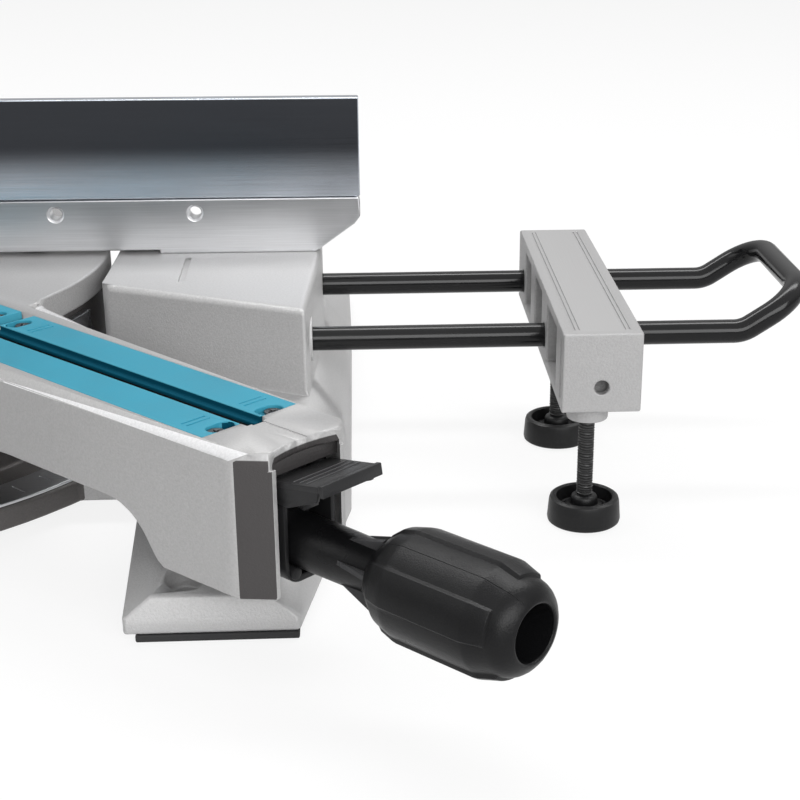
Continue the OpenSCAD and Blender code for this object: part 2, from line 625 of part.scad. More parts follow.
// fixed case over the upper half of the blade
module blade_case() color("#2b2c2e") head() difference() {
  side(-15, 15) intersection() {
    circle(case_r, $fn = 128);
    sector(-10, 190, 260);
  }
  side(-13, 13) circle(case_r - 2, $fn = 128);
  rodx(26.3, 10, 20);
  rodx(42, -20, -10);
  translate([0, 0, 112]) rody(12.5, 20, 200);
}
module dust_nozzle() color("#1c1c1e") head() difference() {
  translate([0, 0, 112]) rody(16, 40, 132);
  translate([0, 0, 112]) rody(12.8, 20, 200);
  rodx(case_r + gap, -40, 40);
}
// two rings of teeth that mesh: pitch radius, tooth count and a half-tooth turn
module gear_plan(n, turn) {
  rp = gear_m * n / 2;
  ra = rp + 0.8 * gear_m;
  rd = rp - 1.15 * gear_m;
  tp = 0.215 * 360 / n;
  ta = tp - atan(0.8 * gear_m * 0.36 / rp) ;
  td = tp + atan(1.15 * gear_m * 0.22 / rp);
  rotate(turn) polygon([for (i = [0:n - 1]) let (a = 360 * i / n) each [
    [rd * cos(a - td), rd * sin(a - td)], [rp * cos(a - tp), rp * sin(a - tp)],
    [ra * cos(a - ta), ra * sin(a - ta)], [ra * cos(a + ta), ra * sin(a + ta)],
    [rp * cos(a + tp), rp * sin(a + tp)], [rd * cos(a + td), rd * sin(a + td)]]]);
}
module motor_housing() color("#26272a") head() translate([0, motor_yz[0], motor_yz[1]]) difference() {
  rodx(motor_r, 62.3, 62.3 + motor_len);
  rodx(motor_r - 4, 67, 63.3 + motor_len);
  rodx(12, 60, 70);
  for (a = [0:20:340]) rotate([a, 0, 0]) block([72, -2.2, motor_r - 6], [82, 2.2, motor_r + 2]);
}
module motor_cap() color("#1d1e20") head() translate([62.6 + motor_len, motor_yz[0], motor_yz[1]]) difference() {
  rotate([0, 90, 0]) rotate_extrude() polygon([[0, 0], [motor_r, 0], [motor_r, 14], [motor_r - 6, 24],
    [motor_r - 14, 28], [0, 28]]);
  rodx(motor_r - 6, -1, 10);
  rodx(11, 9, 19);
  for (z = [-18:9:18]) block([20, -16, z - 2], [30, 16, z + 2]);
}
module stator() color("#6e5138") head() translate([0, motor_yz[0], motor_yz[1]]) difference() {
  rodx(motor_r - 4.3, 90, 150);
  rodx(28, 80, 160);
}
module bearings() color("#b5b8bb") head() {
  for (x = [18.3, 48]) difference() {
    rodx(14, x, x + 10);
    rodx(8 + fit, x - 1, x + 11);
  }
  translate([0, motor_yz[0], motor_yz[1]]) for (x = [51, 72 + motor_len]) difference() {
    rodx(10.95, x, x + 9);
    rodx(5 + fit, x - 1, x + 10);
  }
}
// loop handle with pockets for the trigger and the lock-off button
module handle() color("#1f2022") head() difference() {
  side(26, 54) difference() {
    polygon([[-58.3, -14], [-58.3, 56], [-95, 88], [-190, 97], [-216, 92], [-229, 76], [-226, 52],
      [-205, 28], [-130, -14]]);
    polygon([[-92, 14], [-92, 58], [-110, 66], [-186, 74], [-200, 70], [-206, 58], [-200, 44], [-122, 6]]);
  }
  block([33.7, -175.3, 55], [46.3, -129.7, 82]);
  translate([0, -112, 77]) rodx(6.3, 45, 60);
}
module trigger() color("#131314") head() block([34, -175, 59], [46, -130, 77]);
module lock_off_button() color("#c8401f") head() translate([0, -112, 77]) rodx(6, 49.3, 57);
module cord_gland() color("#141416") head() translate([62.6 + motor_len + 7, motor_yz[0], motor_yz[1]]) difference() {
  union() {
    rody(6.5, motor_r - 3, motor_r + 26);
    rody(9, motor_r - 3, motor_r + 6);
  }
  rody(3.5, motor_r - 9, motor_r + 30);
  rodx(motor_r + 0.2, -30, 30);
}
module shaft_lock() color("#161617") head() translate([0, -30, 0]) {
  rodx(3, 47.3, 68);
  rodx(6.5, 66, 73);
}
module latch_pin() color("#1a1a1c") tt() translate([0, hinge[0] + 9.2, hinge[1] + 9.2]) {
  rodx(3, 49.5, 84);
  rodx(8, 83, 94);
}
// saw blade with raked teeth
module saw_blade() color("#c4c7ca") head() difference() {
  side(-blade_t / 2, blade_t / 2) polygon([for (i = [0:blade_teeth - 1])
    let (a = 360 * i / blade_teeth, s = 360 / blade_teeth) each [
      [blade_r * cos(a), blade_r * sin(a)],
      [(blade_r - 1.2) * cos(a + 0.42 * s), (blade_r - 1.2) * sin(a + 0.42 * s)],
      [(blade_r - 7) * cos(a + 0.6 * s), (blade_r - 7) * sin(a + 0.6 * s)],
      [(blade_r - 8.5) * cos(a + 0.8 * s), (blade_r - 8.5) * sin(a + 0.8 * s)],
      [(blade_r - 7) * cos(a + 0.97 * s), (blade_r - 7) * sin(a + 0.97 * s)]]]);
  rodx(8.05, -5, 5);
}
module blade_flanges() color("#9fa2a6") head() difference() {
  union() {
    rodx(22, blade_t / 2, blade_t / 2 + 4.2);
    rodx(22, -blade_t / 2 - 3.7, -blade_t / 2);
  }
  rodx(8.05, -blade_t / 2 - 0.6, 10);
  rodx(4.05, -20, 10);
}
module arbor_bolt() color("#77797d") head() {
  rodx(4, -6, 18);
  translate([-blade_t / 2 - 10.7, 0, 0]) rotate([0, 90, 0]) cylinder(r = 7.5, h = 7, $fn = 6);
}
module spindle() color("#8e9195") head() difference() {
  union() {
    rodx(8, -blade_t / 2, 58);
    side(31, 45) gear_plan(gear_n, motor_a);
  }
  rodx(4.05, -10, 19);
}
module armature() color("#9c6b3f") head() translate([0, motor_yz[0], motor_yz[1]]) {
  rodx(5, 30.5, 79 + motor_len);
  side(31, 45) gear_plan(pinion_n, motor_a + 180 + 180 / pinion_n);
  rodx(27.4, 92, 148);
  rodx(36, 83, 87);
  rodx(14, 156, 172);
}
// swinging lower guard: two cheeks and a rim, riding on the housing's neck
module lower_guard() color("#35373a") head() difference() {
  union() {
    side(-10, 10) intersection() {
      circle(guard_r, $fn = 128);
      sector(192, 348, 260);
    }
    rodx(34, 8, 10);
  }
  rodx(guard_r - 2, -8, 8);
  rodx(36, -12, -7);
  rodx(26 + fit, 7, 12);
}

base_casting();
base_pads();
lower_fence();
fence_bolts();
detent_ring();
pivot_bolt();
right_rod_clamp();
left_rod_clamp();
turntable();
kerf_boards();
table_screws();
mitre_scale();
front_plate();
lever_pin();
grip_knob();
grip_rod();
detent_lever();
detent_plunger();
bevel_arm();
bevel_bolt();
rail_bushes();
bevel_lever();
slide_lock();
slide_rails();
rail_end_cap();
head_bracket();
hinge_pin();
return_spring();
gear_housing();
blade_case();
motor_housing();
motor_cap();
stator();
bearings();
handle();
dust_nozzle();
cord_gland();
trigger();
lock_off_button();
shaft_lock();
latch_pin();
saw_blade();
blade_flanges();
arbor_bolt();
spindle();
armature();
lower_guard();
right_upper_fence();
left_upper_fence();
right_fence_knob();
left_fence_knob();
right_rods();
right_support();
right_foot_front();
right_foot_rear();
left_rods();
left_support();
left_foot_front();
left_foot_rear();
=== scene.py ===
"""Looks of a sliding mitre saw: cast base, swung turntable arm, fence, wings and saw head."""
import json
import math
import bmesh
import bpy
from mathutils import Matrix, Vector
from mathutils.kdtree import KDTree

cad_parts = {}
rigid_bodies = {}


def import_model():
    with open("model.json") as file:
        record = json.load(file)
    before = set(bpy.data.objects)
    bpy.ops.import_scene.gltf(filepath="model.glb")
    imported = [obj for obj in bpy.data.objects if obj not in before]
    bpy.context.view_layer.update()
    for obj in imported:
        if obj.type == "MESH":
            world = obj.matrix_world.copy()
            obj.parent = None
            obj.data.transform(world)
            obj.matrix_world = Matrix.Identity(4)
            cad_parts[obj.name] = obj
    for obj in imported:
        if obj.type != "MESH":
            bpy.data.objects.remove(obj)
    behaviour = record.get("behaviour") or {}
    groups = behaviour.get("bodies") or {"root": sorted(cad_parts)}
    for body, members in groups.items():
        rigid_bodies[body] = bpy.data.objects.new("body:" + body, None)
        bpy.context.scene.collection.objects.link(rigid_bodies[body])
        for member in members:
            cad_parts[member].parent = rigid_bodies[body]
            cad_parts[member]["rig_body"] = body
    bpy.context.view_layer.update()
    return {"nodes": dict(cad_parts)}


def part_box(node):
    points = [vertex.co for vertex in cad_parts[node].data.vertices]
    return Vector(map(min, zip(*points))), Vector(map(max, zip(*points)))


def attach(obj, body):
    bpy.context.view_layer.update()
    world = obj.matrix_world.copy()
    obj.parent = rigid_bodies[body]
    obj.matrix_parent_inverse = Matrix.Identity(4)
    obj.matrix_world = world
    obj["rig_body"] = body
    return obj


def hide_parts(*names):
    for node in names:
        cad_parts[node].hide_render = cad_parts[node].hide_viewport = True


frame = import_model()
scene = bpy.context.scene
scene.view_settings.view_transform = "Standard"

# Camera: a view from the front and from above, close to the arm's grip, with a long lens.
# The picture is square, and its optical axis lies below the middle.
picture_px = 800
focal_px = 1605.934
sensor_mm = 36.0
cam_place = (0.293682, -0.84679, 0.326053)
cam_heading = math.radians(-3.3011)
cam_dip = math.radians(22.1755)
cam = bpy.data.objects.new("camera", bpy.data.cameras.new("camera"))
scene.collection.objects.link(cam)
cam.data.sensor_width = sensor_mm
cam.data.lens = focal_px / picture_px * sensor_mm
cam.data.shift_x = -0.04946
cam.data.shift_y = 0.06741
cam.data.clip_end = 50
cam.matrix_world = (Matrix.Translation(cam_place) @ Matrix.Rotation(cam_heading, 4, "Z")
                    @ Matrix.Rotation(math.pi / 2 - cam_dip, 4, "X"))
scene.camera = cam

# Studio: a white paper floor that runs out to a white surround, under a long soft lamp, with a
# weak lamp on the left and a broad one in front. Gloss sees floor and sky dimmer than the camera.
white = (1, 1, 1, 1)
floor_half = 9
floor_drop = 0.0004


def add_node(tree, kind, values=None, **settings):
    """A node in a tree, with its settings and then the values of its inputs."""
    node = tree.nodes.new(kind)
    for key, value in settings.items():
        setattr(node, key, value)
    for key, value in (values or {}).items():
        node.inputs[key].default_value = value
    return node


def wire(tree, *pairs):
    """Links in a tree, each from an output to an input."""
    for source, target in pairs:
        tree.links.new(source, target)


floor_mesh = bpy.data.meshes.new("floor")
floor_corners = [(x * floor_half, y * floor_half, 0) for x, y in ((-1, -1), (1, -1), (1, 1), (-1, 1))]
floor_mesh.from_pydata(floor_corners, [], [(0, 1, 2, 3)])
floor = bpy.data.objects.new("floor", floor_mesh)
floor.location.z = -floor_drop
scene.collection.objects.link(floor)
paper = bpy.data.materials.new("paper")
paper.use_nodes = True
tree = paper.node_tree
tree.nodes.clear()
end = add_node(tree, "ShaderNodeOutputMaterial")
mix = add_node(tree, "ShaderNodeMixShader")
lit = add_node(tree, "ShaderNodeBsdfDiffuse", {"Color": (0.93, 0.93, 0.93, 1)})
glow = add_node(tree, "ShaderNodeEmission", {"Color": white})
path = add_node(tree, "ShaderNodeLightPath")
level = add_node(tree, "ShaderNodeMapRange", {"To Min": 0.78, "To Max": 1.0})
seen = add_node(tree, "ShaderNodeMath", operation="MAXIMUM")
glow_share = add_node(tree, "ShaderNodeMath", {1: 0.85}, operation="MULTIPLY")
wire(tree, (path.outputs["Is Camera Ray"], level.inputs["Value"]),
     (level.outputs["Result"], glow.inputs["Strength"]),
     (path.outputs["Is Camera Ray"], seen.inputs[0]),
     (path.outputs["Is Glossy Ray"], seen.inputs[1]),
     (seen.outputs[0], glow_share.inputs[0]),
     (glow_share.outputs[0], mix.inputs["Fac"]),
     (lit.outputs[0], mix.inputs[1]),
     (glow.outputs[0], mix.inputs[2]),
     (mix.outputs[0], end.inputs["Surface"]))
floor_mesh.materials.append(paper)

world = bpy.data.worlds.new("studio")
scene.world = world
world.use_nodes = True
tree = world.node_tree
tree.nodes.clear()
end = add_node(tree, "ShaderNodeOutputWorld")
sky = add_node(tree, "ShaderNodeBackground", {"Color": white})
path = add_node(tree, "ShaderNodeLightPath")
where = add_node(tree, "ShaderNodeTexCoord")
split = add_node(tree, "ShaderNodeSeparateXYZ")
high = add_node(tree, "ShaderNodeMapRange", {"From Min": 0.0, "From Max": 0.6, "To Min": 0.25, "To Max": 1.0})
mirrored = add_node(tree, "ShaderNodeMix", {"A": 0.36})
seen = add_node(tree, "ShaderNodeMix", {"B": 1.0})
wire(tree, (where.outputs["Generated"], split.inputs[0]),
     (split.outputs["Z"], high.inputs["Value"]),
     (high.outputs["Result"], mirrored.inputs["B"]),
     (path.outputs["Is Glossy Ray"], mirrored.inputs["Factor"]),
     (mirrored.outputs["Result"], seen.inputs["A"]),
     (path.outputs["Is Camera Ray"], seen.inputs["Factor"]),
     (seen.outputs["Result"], sky.inputs["Strength"]),
     (sky.outputs[0], end.inputs["Surface"]))
for name, place, aim, size, watts in (
        ("lamp_top", (0.35, 0.5, 1.7), (0.3, -0.1, 0.1), (2.6, 0.4), 29),
        ("lamp_left", (-1.7, -0.8, 1.5), (0.2, -0.1, 0.1), (1.2, 1.2), 5),
        ("lamp_front", (0.9, -1.9, 0.9), (0.3, -0.1, 0.1), (2.0, 1.0), 32)):
    lamp = bpy.data.objects.new(name, bpy.data.lights.new(name, "AREA"))
    lamp.data.shape = "RECTANGLE"
    lamp.data.size, lamp.data.size_y = size
    lamp.data.energy = watts
    lamp.location = place
    lamp.rotation_euler = (Vector(aim) - Vector(place)).to_track_quat("-Z", "Y").to_euler()
    scene.collection.objects.link(lamp)

# Base: one sand-cast aluminium piece with drafted legs, a round seat for the turntable and two
# table halves. Its skin is fine-grained from the mould, and the tops are milled flat and smooth.
# The drum and its rim under the table are painted darker, as painted shade.
table_top = 0.1
unmilled = 0.2
tables_in, tables_front = 0.15, -0.004
rim_deep = 0.003
well_top = 0.088
well_r = 0.2075
weld_gap = 2e-6
flat_turn = math.radians(0.4)
edge_turn = math.radians(34)
fold_turn = math.radians(150)
crease_turn = math.radians(40)
least_bend, most_bend = math.radians(1), math.radians(40)
all_tries, short_tries = 9, 4
short_edge, fold_reach = 5, 1.6


def effect_group(name, inputs, outputs):
    """An empty shader node group with named number sockets, and its input and output nodes."""
    group = bpy.data.node_groups.new(name, "ShaderNodeTree")
    for key in inputs:
        group.interface.new_socket(key, in_out="INPUT", socket_type="NodeSocketFloat")
    for key in outputs:
        group.interface.new_socket(key, in_out="OUTPUT", socket_type="NodeSocketFloat")
    return group, add_node(group, "NodeGroupInput"), add_node(group, "NodeGroupOutput")


grain, group_in, group_out = effect_group("cast_grain", ("Scale",), ("Height", "Blotch"))
where = add_node(grain, "ShaderNodeTexCoord")
fine = add_node(grain, "ShaderNodeTexNoise", {"Detail": 5, "Roughness": 0.62})
broad = add_node(grain, "ShaderNodeTexNoise", {"Scale": 26, "Detail": 4})
wire(grain, (where.outputs["Object"], fine.inputs["Vector"]),
     (where.outputs["Object"], broad.inputs["Vector"]),
     (group_in.outputs["Scale"], fine.inputs["Scale"]),
     (fine.outputs["Fac"], group_out.inputs["Height"]),
     (broad.outputs["Fac"], group_out.inputs["Blotch"]))

wear, group_in, group_out = effect_group("edge_wear", ("From", "To"), ("Mask",))
shape = add_node(wear, "ShaderNodeNewGeometry")
span = add_node(wear, "ShaderNodeMapRange")
wire(wear, (shape.outputs["Pointiness"], span.inputs["Value"]),
     (group_in.outputs["From"], span.inputs["From Min"]),
     (group_in.outputs["To"], span.inputs["From Max"]),
     (span.outputs["Result"], group_out.inputs["Mask"]))

milled, group_in, group_out = effect_group("milled_lines", ("Turn",), ("Lines",))
where = add_node(milled, "ShaderNodeTexCoord")
spin = add_node(milled, "ShaderNodeVectorRotate", rotation_type="Z_AXIS")
stretch = add_node(milled, "ShaderNodeMapping", {"Scale": (14, 900, 900)})
lines = add_node(milled, "ShaderNodeTexNoise", {"Scale": 1.6, "Detail": 3})
wire(milled, (where.outputs["Object"], spin.inputs["Vector"]),
     (group_in.outputs["Turn"], spin.inputs["Angle"]),
     (spin.outputs["Vector"], stretch.inputs["Vector"]),
     (stretch.outputs["Vector"], lines.inputs["Vector"]),
     (lines.outputs["Fac"], group_out.inputs["Lines"]))


def new_finish(name):
    """A new material, with its node tree and its shader."""
    material = bpy.data.materials.new(name)
    material.use_nodes = True
    return material, material.node_tree, material.node_tree.nodes["Principled BSDF"]


def effect(tree, group, values):
    """A shared effect placed in a material, with its own values."""
    return add_node(tree, "ShaderNodeGroup", values, node_tree=group)


def place_and_facing(tree):
    """The place of a point and the direction of its surface, each split into X, Y and Z."""
    where = add_node(tree, "ShaderNodeTexCoord")
    place = add_node(tree, "ShaderNodeSeparateXYZ")
    facing = add_node(tree, "ShaderNodeSeparateXYZ")
    wire(tree, (where.outputs["Object"], place.inputs[0]), (where.outputs["Normal"], facing.inputs[0]))
    return place.outputs, facing.outputs


def ranged(tree, value, ends, **settings):
    """A value carried from one range to another."""
    span = add_node(tree, "ShaderNodeMapRange", ends, **settings)
    wire(tree, (value, span.inputs["Value"]))
    return span.outputs["Result"]


def product(tree, a, b):
    """Two values multiplied."""
    times = add_node(tree, "ShaderNodeMath", operation="MULTIPLY")
    wire(tree, (a, times.inputs[0]), (b, times.inputs[1]))
    return times.outputs[0]


def toned(tree, colour, low, high, factor):
    """A colour that varies between a low and a high share of itself, by a factor."""
    tone = add_node(tree, "ShaderNodeMix", {"A": (*[c * low for c in colour], 1),
                                            "B": (*[min(1, c * high) for c in colour], 1)}, data_type="RGBA")
    wire(tree, (factor, tone.inputs["Factor"]))
    return tone.outputs["Result"]


def covered(tree, under, colour, factor):
    """A colour laid over another one, by a factor."""
    cover = add_node(tree, "ShaderNodeMix", {"B": (*colour, 1)}, data_type="RGBA")
    wire(tree, (factor, cover.inputs["Factor"]), (under, cover.inputs["A"]))
    return cover.outputs["Result"]


def dressed(tree, bsdf, colour, rough, height, strength, distance):
    """A shader given its colour, its roughness and its relief, which stands up by a height."""
    bump = add_node(tree, "ShaderNodeBump", {"Strength": strength, "Distance": distance})
    wire(tree, (colour, bsdf.inputs["Base Color"]), (rough, bsdf.inputs["Roughness"]),
         (height, bump.inputs["Height"]), (bump.outputs["Normal"], bsdf.inputs["Normal"]))


def cast_finish(name, colour, top_z, turn, worn=(0.49, 0.49, 0.493), low=None):
    """Cast aluminium: grainy all over, smooth and faintly lined where it is milled at top_z, and
    rubbed to a worn colour on its edges. A low of (z, colour) paints another colour below z, as painted
    shade."""
    material, tree, bsdf = new_finish(name)
    bsdf.inputs["Metallic"].default_value = 0.35
    grit = effect(tree, grain, {"Scale": 1000})
    rub = effect(tree, wear, {"From": 0.515, "To": 0.60})
    cut = effect(tree, milled, {"Turn": turn})
    place, facing = place_and_facing(tree)
    high = ranged(tree, place["Z"], {"From Min": top_z - 0.0012, "From Max": top_z - 0.0004})
    flat = ranged(tree, facing["Z"], {"From Min": 0.9, "From Max": 0.99})
    top = product(tree, high, flat)
    skin = covered(tree, toned(tree, colour, 0.74, 1.24, grit.outputs["Height"]), worn, rub.outputs["Mask"])
    if low:
        low_z, painted_shade_colour = low
        under = ranged(tree, place["Z"], {"From Min": low_z + 0.0002, "From Max": low_z - 0.0002})
        skin = covered(tree, skin, painted_shade_colour, under)
    rough = ranged(tree, top, {"To Min": 0.5, "To Max": 0.47})
    faint = add_node(tree, "ShaderNodeMath", {1: 0.18}, operation="MULTIPLY")
    relief = add_node(tree, "ShaderNodeMix")
    wire(tree, (cut.outputs["Lines"], faint.inputs[0]), (top, relief.inputs["Factor"]),
         (grit.outputs["Height"], relief.inputs["A"]), (faint.outputs[0], relief.inputs["B"]))
    dressed(tree, bsdf, skin, rough, relief.outputs["Result"], 0.5, 0.0005)
    return material


def join_body(piece, node, stands_for):
    """Fix a piece to the body of a CAD node, and hide that node where the piece stands for it."""
    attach(piece, frame["nodes"][node]["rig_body"])
    if stands_for:
        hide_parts(node)


def as_made(piece):
    """The plain mesh that a piece's modifiers make."""
    return bpy.data.meshes.new_from_object(piece.evaluated_get(bpy.context.evaluated_depsgraph_get()))


def bake(piece, name):
    """Turn a piece's modifiers into its plain mesh."""
    done = as_made(piece)
    piece.modifiers.clear()
    piece.data = done
    done.name = name


def bevelled(mesh, width, steps, weights):
    """The mesh with its edges rounded by their weights, in triangles, and the corners that fold over."""
    layer = mesh.attributes.new("bevel_weight_edge", "FLOAT", "EDGE")
    layer.data.foreach_set("value", weights)
    piece = bpy.data.objects.new("work", mesh)
    scene.collection.objects.link(piece)
    mod = piece.modifiers.new("edge", "BEVEL")
    mod.width = width
    mod.segments = steps
    mod.limit_method = "WEIGHT"
    mod.use_clamp_overlap = False
    done = as_made(piece)
    bpy.data.objects.remove(piece)
    mesh.attributes.remove(mesh.attributes["bevel_weight_edge"])
    work = bmesh.new()
    work.from_mesh(done)
    bmesh.ops.dissolve_degenerate(work, dist=1e-6, edges=work.edges)
    bmesh.ops.triangulate(work, faces=work.faces)
    folds = [v.co.copy() for e in work.edges if len(e.link_faces) == 2
             and e.calc_face_angle(0) > fold_turn for v in e.verts]
    for face in work.faces:
        face.smooth = True
    work.to_mesh(done)
    work.free()
    return done, folds


def room_for(edge, sharp, width):
    """The share of a rounding's width that fits an edge, by the depth of its faces and its bends."""
    a, b = (v.co for v in edge.verts)
    line = (b - a).normalized()
    depth = min(max((v.co - a - line * (v.co - a).dot(line)).length for v in f.verts)
                for f in edge.link_faces)
    bend = width
    for v in edge.verts:
        for other in v.link_edges:
            if other is not edge and other in sharp:
                turn = line.angle((other.other_vert(v).co - v.co).normalized())
                turn = min(turn, math.pi - turn)
                if least_bend < turn < most_bend:
                    bend = min(bend, 0.35 * edge.calc_length() / turn)
    return min(0.3 * depth / width, bend / width)


def rounded(node, width, material, steps=2, share=None):
    """A copy of a CAD node with its edges rounded over, which stands for that node. An edge whose
    rounding would fold its neighbours gets a smaller one, short edges first. A share gives the part
    of the width that an edge gets, from its middle."""
    mesh = frame["nodes"][node].data.copy()
    work = bmesh.new()
    work.from_mesh(mesh)
    bmesh.ops.remove_doubles(work, verts=work.verts, dist=weld_gap)
    bmesh.ops.dissolve_limit(work, angle_limit=flat_turn, verts=work.verts, edges=work.edges)
    bmesh.ops.connect_verts_concave(work, faces=work.faces)
    work.edges.index_update()
    sharp = {e for e in work.edges if len(e.link_faces) == 2 and e.calc_face_angle() > edge_turn}
    weights = [0.0] * len(work.edges)
    spots = []
    for edge in sharp:
        a, b = (v.co.copy() for v in edge.verts)
        length = edge.calc_length()
        most = share((a + b) / 2) if share else 1.0
        weights[edge.index] = min(most, room_for(edge, sharp, width))
        count = max(2, min(60, int(length / width)))
        spots.append((edge.index, length, [a.lerp(b, k / (count - 1)) for k in range(count)]))
    work.to_mesh(mesh)
    work.free()
    for attempt in range(all_tries):
        done, folds = bevelled(mesh, width, steps, weights)
        if not folds:
            break
        near = KDTree(len(folds))
        for k, co in enumerate(folds):
            near.insert(co, k)
        near.balance()
        for index, length, points in spots:
            if weights[index] and (attempt >= short_tries or length < short_edge * width):
                if min(near.find(p)[2] for p in points) < fold_reach * width:
                    weights[index] = weights[index] * 0.5 if attempt in (0, short_tries) else 0.0
    done.set_sharp_from_angle(angle=crease_turn)
    piece = bpy.data.objects.new(node + "_skin", done)
    scene.collection.objects.link(piece)
    even = piece.modifiers.new("even", "WEIGHTED_NORMAL")
    even.keep_sharp = True
    even.weight = 90
    bake(piece, node + "_skin")
    piece.data.materials.clear()
    piece.data.materials.append(material)
    join_body(piece, node, True)
    return piece


def base_edges(p):
    """The share of the full rounding: whole on the front rim of the tables, less on other edges."""
    on_rim = p.y < tables_front and p.z > table_top - rim_deep and abs(p.x) > tables_in
    return 1.0 if on_rim else 0.62


base_metal = cast_finish("base_metal", (0.48, 0.477, 0.477), table_top, 0.0)
well_painted_shade = cast_finish("well_painted_shade", (0.1, 0.094, 0.092), unmilled, 0.0, (0.12, 0.114, 0.112))
base = rounded("base_casting", 0.0035, base_metal, steps=3, share=base_edges)
# Faces low on the drum and rim, near the middle, take the painted shade.
base.data.materials.append(well_painted_shade)
for face in base.data.polygons:
    corners = [base.data.vertices[k].co for k in face.vertices]
    if all(co.z < well_top and math.hypot(co.x, co.y) < well_r for co in corners):
        face.material_index = 1

# Rubber pads: moulded feet glued under the four corners of the base, with the bench holes
# through them. The rubber is matt, dusty on its edges and a little mottled.


def moulded_finish(name, colour, rough, scale, depth, edge, metal=0.0, shine=0.32):
    """Moulded plastic, rubber or a coat: fine spark texture, mottled gloss and paler rubbed edges."""
    material, tree, bsdf = new_finish(name)
    bsdf.inputs["Metallic"].default_value = metal
    bsdf.inputs["Specular IOR Level"].default_value = shine
    grit = effect(tree, grain, {"Scale": scale})
    rub = effect(tree, wear, {"From": 0.53, "To": 0.66})
    tone = toned(tree, colour, 0.82, 1.18, grit.outputs["Blotch"])
    gloss = ranged(tree, grit.outputs["Blotch"], {"From Min": 0.3, "From Max": 0.7,
                                                  "To Min": rough - 0.05, "To Max": rough + 0.07})
    skin = covered(tree, tone, edge, rub.outputs["Mask"])
    dressed(tree, bsdf, skin, gloss, grit.outputs["Height"], depth, 0.0003)
    return material


pad_rubber = moulded_finish("pad_rubber", (0.018, 0.018, 0.019), 0.7, 900, 0.5, (0.05, 0.05, 0.05))
rounded("base_pads", 0.0008, pad_rubber)

# Turned and ground steel: the centre bolt, the notched stop ring, the fence screws and the pins.
# Bright and streaked along the cut, bought in as bar and screws.


def steel_finish(name, colour, rough, turn, painted_reflection=None):
    """Ground steel or machined aluminium: metallic, with fine lines along one direction.
    A painted_reflection of (z, z, share) paints its front darker between two heights, as a painted
    reflection."""
    material, tree, bsdf = new_finish(name)
    bsdf.inputs["Metallic"].default_value = 1.0
    cut = effect(tree, milled, {"Turn": turn})
    grit = effect(tree, grain, {"Scale": 400})
    skin = toned(tree, colour, 0.8, 1.15, cut.outputs["Lines"])
    # Painted reflection: the front is darkened towards the top, for a dark surround.
    if painted_reflection:
        from_z, to_z, most = painted_reflection
        place, facing = place_and_facing(tree)
        fall = ranged(tree, place["Z"], {"From Min": from_z, "From Max": to_z, "To Max": most},
                      interpolation_type="SMOOTHSTEP")
        front = ranged(tree, facing["Y"], {"From Min": -0.85, "From Max": -0.98})
        skin = covered(tree, skin, (0.02, 0.021, 0.025), product(tree, fall, front))
    gloss = ranged(tree, grit.outputs["Blotch"], {"From Min": 0.3, "From Max": 0.7,
                                                  "To Min": rough, "To Max": rough + 0.05},
                   interpolation_type="SMOOTHSTEP")
    dressed(tree, bsdf, skin, gloss, cut.outputs["Lines"], 0.12, 0.0002)
    return material


bar_steel = steel_finish("bar_steel", (0.56, 0.57, 0.59), 0.25, 0.6)
for node in ("fence_bolts", "detent_ring", "pivot_bolt", "lever_pin", "grip_rod", "detent_plunger",
             "bevel_bolt", "hinge_pin", "return_spring", "bearings", "arbor_bolt", "spindle"):
    rounded(node, 0.0003, bar_steel, steps=1)
scale_plate = steel_finish("scale_plate", (0.66, 0.67, 0.69), 0.32, 0.0)
rounded("mitre_scale", 0.0002, scale_plate, steps=1)

# Fence: an extruded and milled aluminium angle bolted to the table, with a second storey that
# slides on it and is clamped from behind. The faces are milled along their length and bright,
# and their fronts are painted darker towards the top, a painted reflection of a dark surround.
fence_metal = steel_finish("fence_metal", (0.73, 0.735, 0.75), 0.3, 0.0, painted_reflection=(0.1, 0.136, 0.6))
rounded("lower_fence", 0.0009, fence_metal)
# The upper storey's front takes a stronger painted reflection.
upper_metal = steel_finish("upper_metal", (0.6, 0.64, 0.7), 0.22, 0.0, painted_reflection=(0.129, 0.158, 0.95))
for node in ("right_upper_fence", "left_upper_fence"):
    rounded(node, 0.0008, upper_metal)

# Turntable: a cast disc with a long channel-shaped arm, milled on top. It turns on the base and
# holds the kerf boards. The front corner, the lip over the lever and the slot's floor are painted
# dark as painted shade, and the long left edge pale as a painted highlight.
arm_turn = math.radians(45)
half_root = math.sqrt(0.5)
mm = 0.001
shade = (0.06, 0.056, 0.056)
black = (0.004, 0.004, 0.004)
nose_out = 0.373352
nose_deep = 0.0015
lip_out, lip_half = 0.378656, 0.016971
lip_front, lip_low, lip_shade_top = 0.38, 0.09, 0.0972
corner_out = 0.376
slot_start, slot_end, slot_half, slot_top = 0.12, 0.37, 0.011, 0.094
edge_start, edge_end, edge_low = 0.1, 0.374, 0.0955
brow_low, brow_high = (381, -20.4, 87.7), (386.3, 20.4, 96)
corner_way = Vector((-0.0896, -0.9960, 0.0))
front_way = Vector((0.7071, -0.7071, 0.0))
edge_way = Vector((-0.5, -0.5, 0.7071))


def along_arm(p):
    """How far a point lies out along the arm, which stands at 45 degrees, and how far across it."""
    return (p.x - p.y) * half_root, (p.x + p.y) * half_root


def on_arm(out, across, height):
    """A point by its distance out along the arm, its offset across and its height, in millimetres."""
    return Vector(((out + across) * half_root * mm, (across - out) * half_root * mm, height * mm))


def arm_edges(p):
    """The share of the full rounding: wide on the arm's nose, fine on the lip over the lever."""
    out, across = along_arm(p)
    if out < nose_out or p.z < table_top - nose_deep:
        return 0.55
    return 0.3 if out > lip_out and abs(across) < lip_half else 1.0


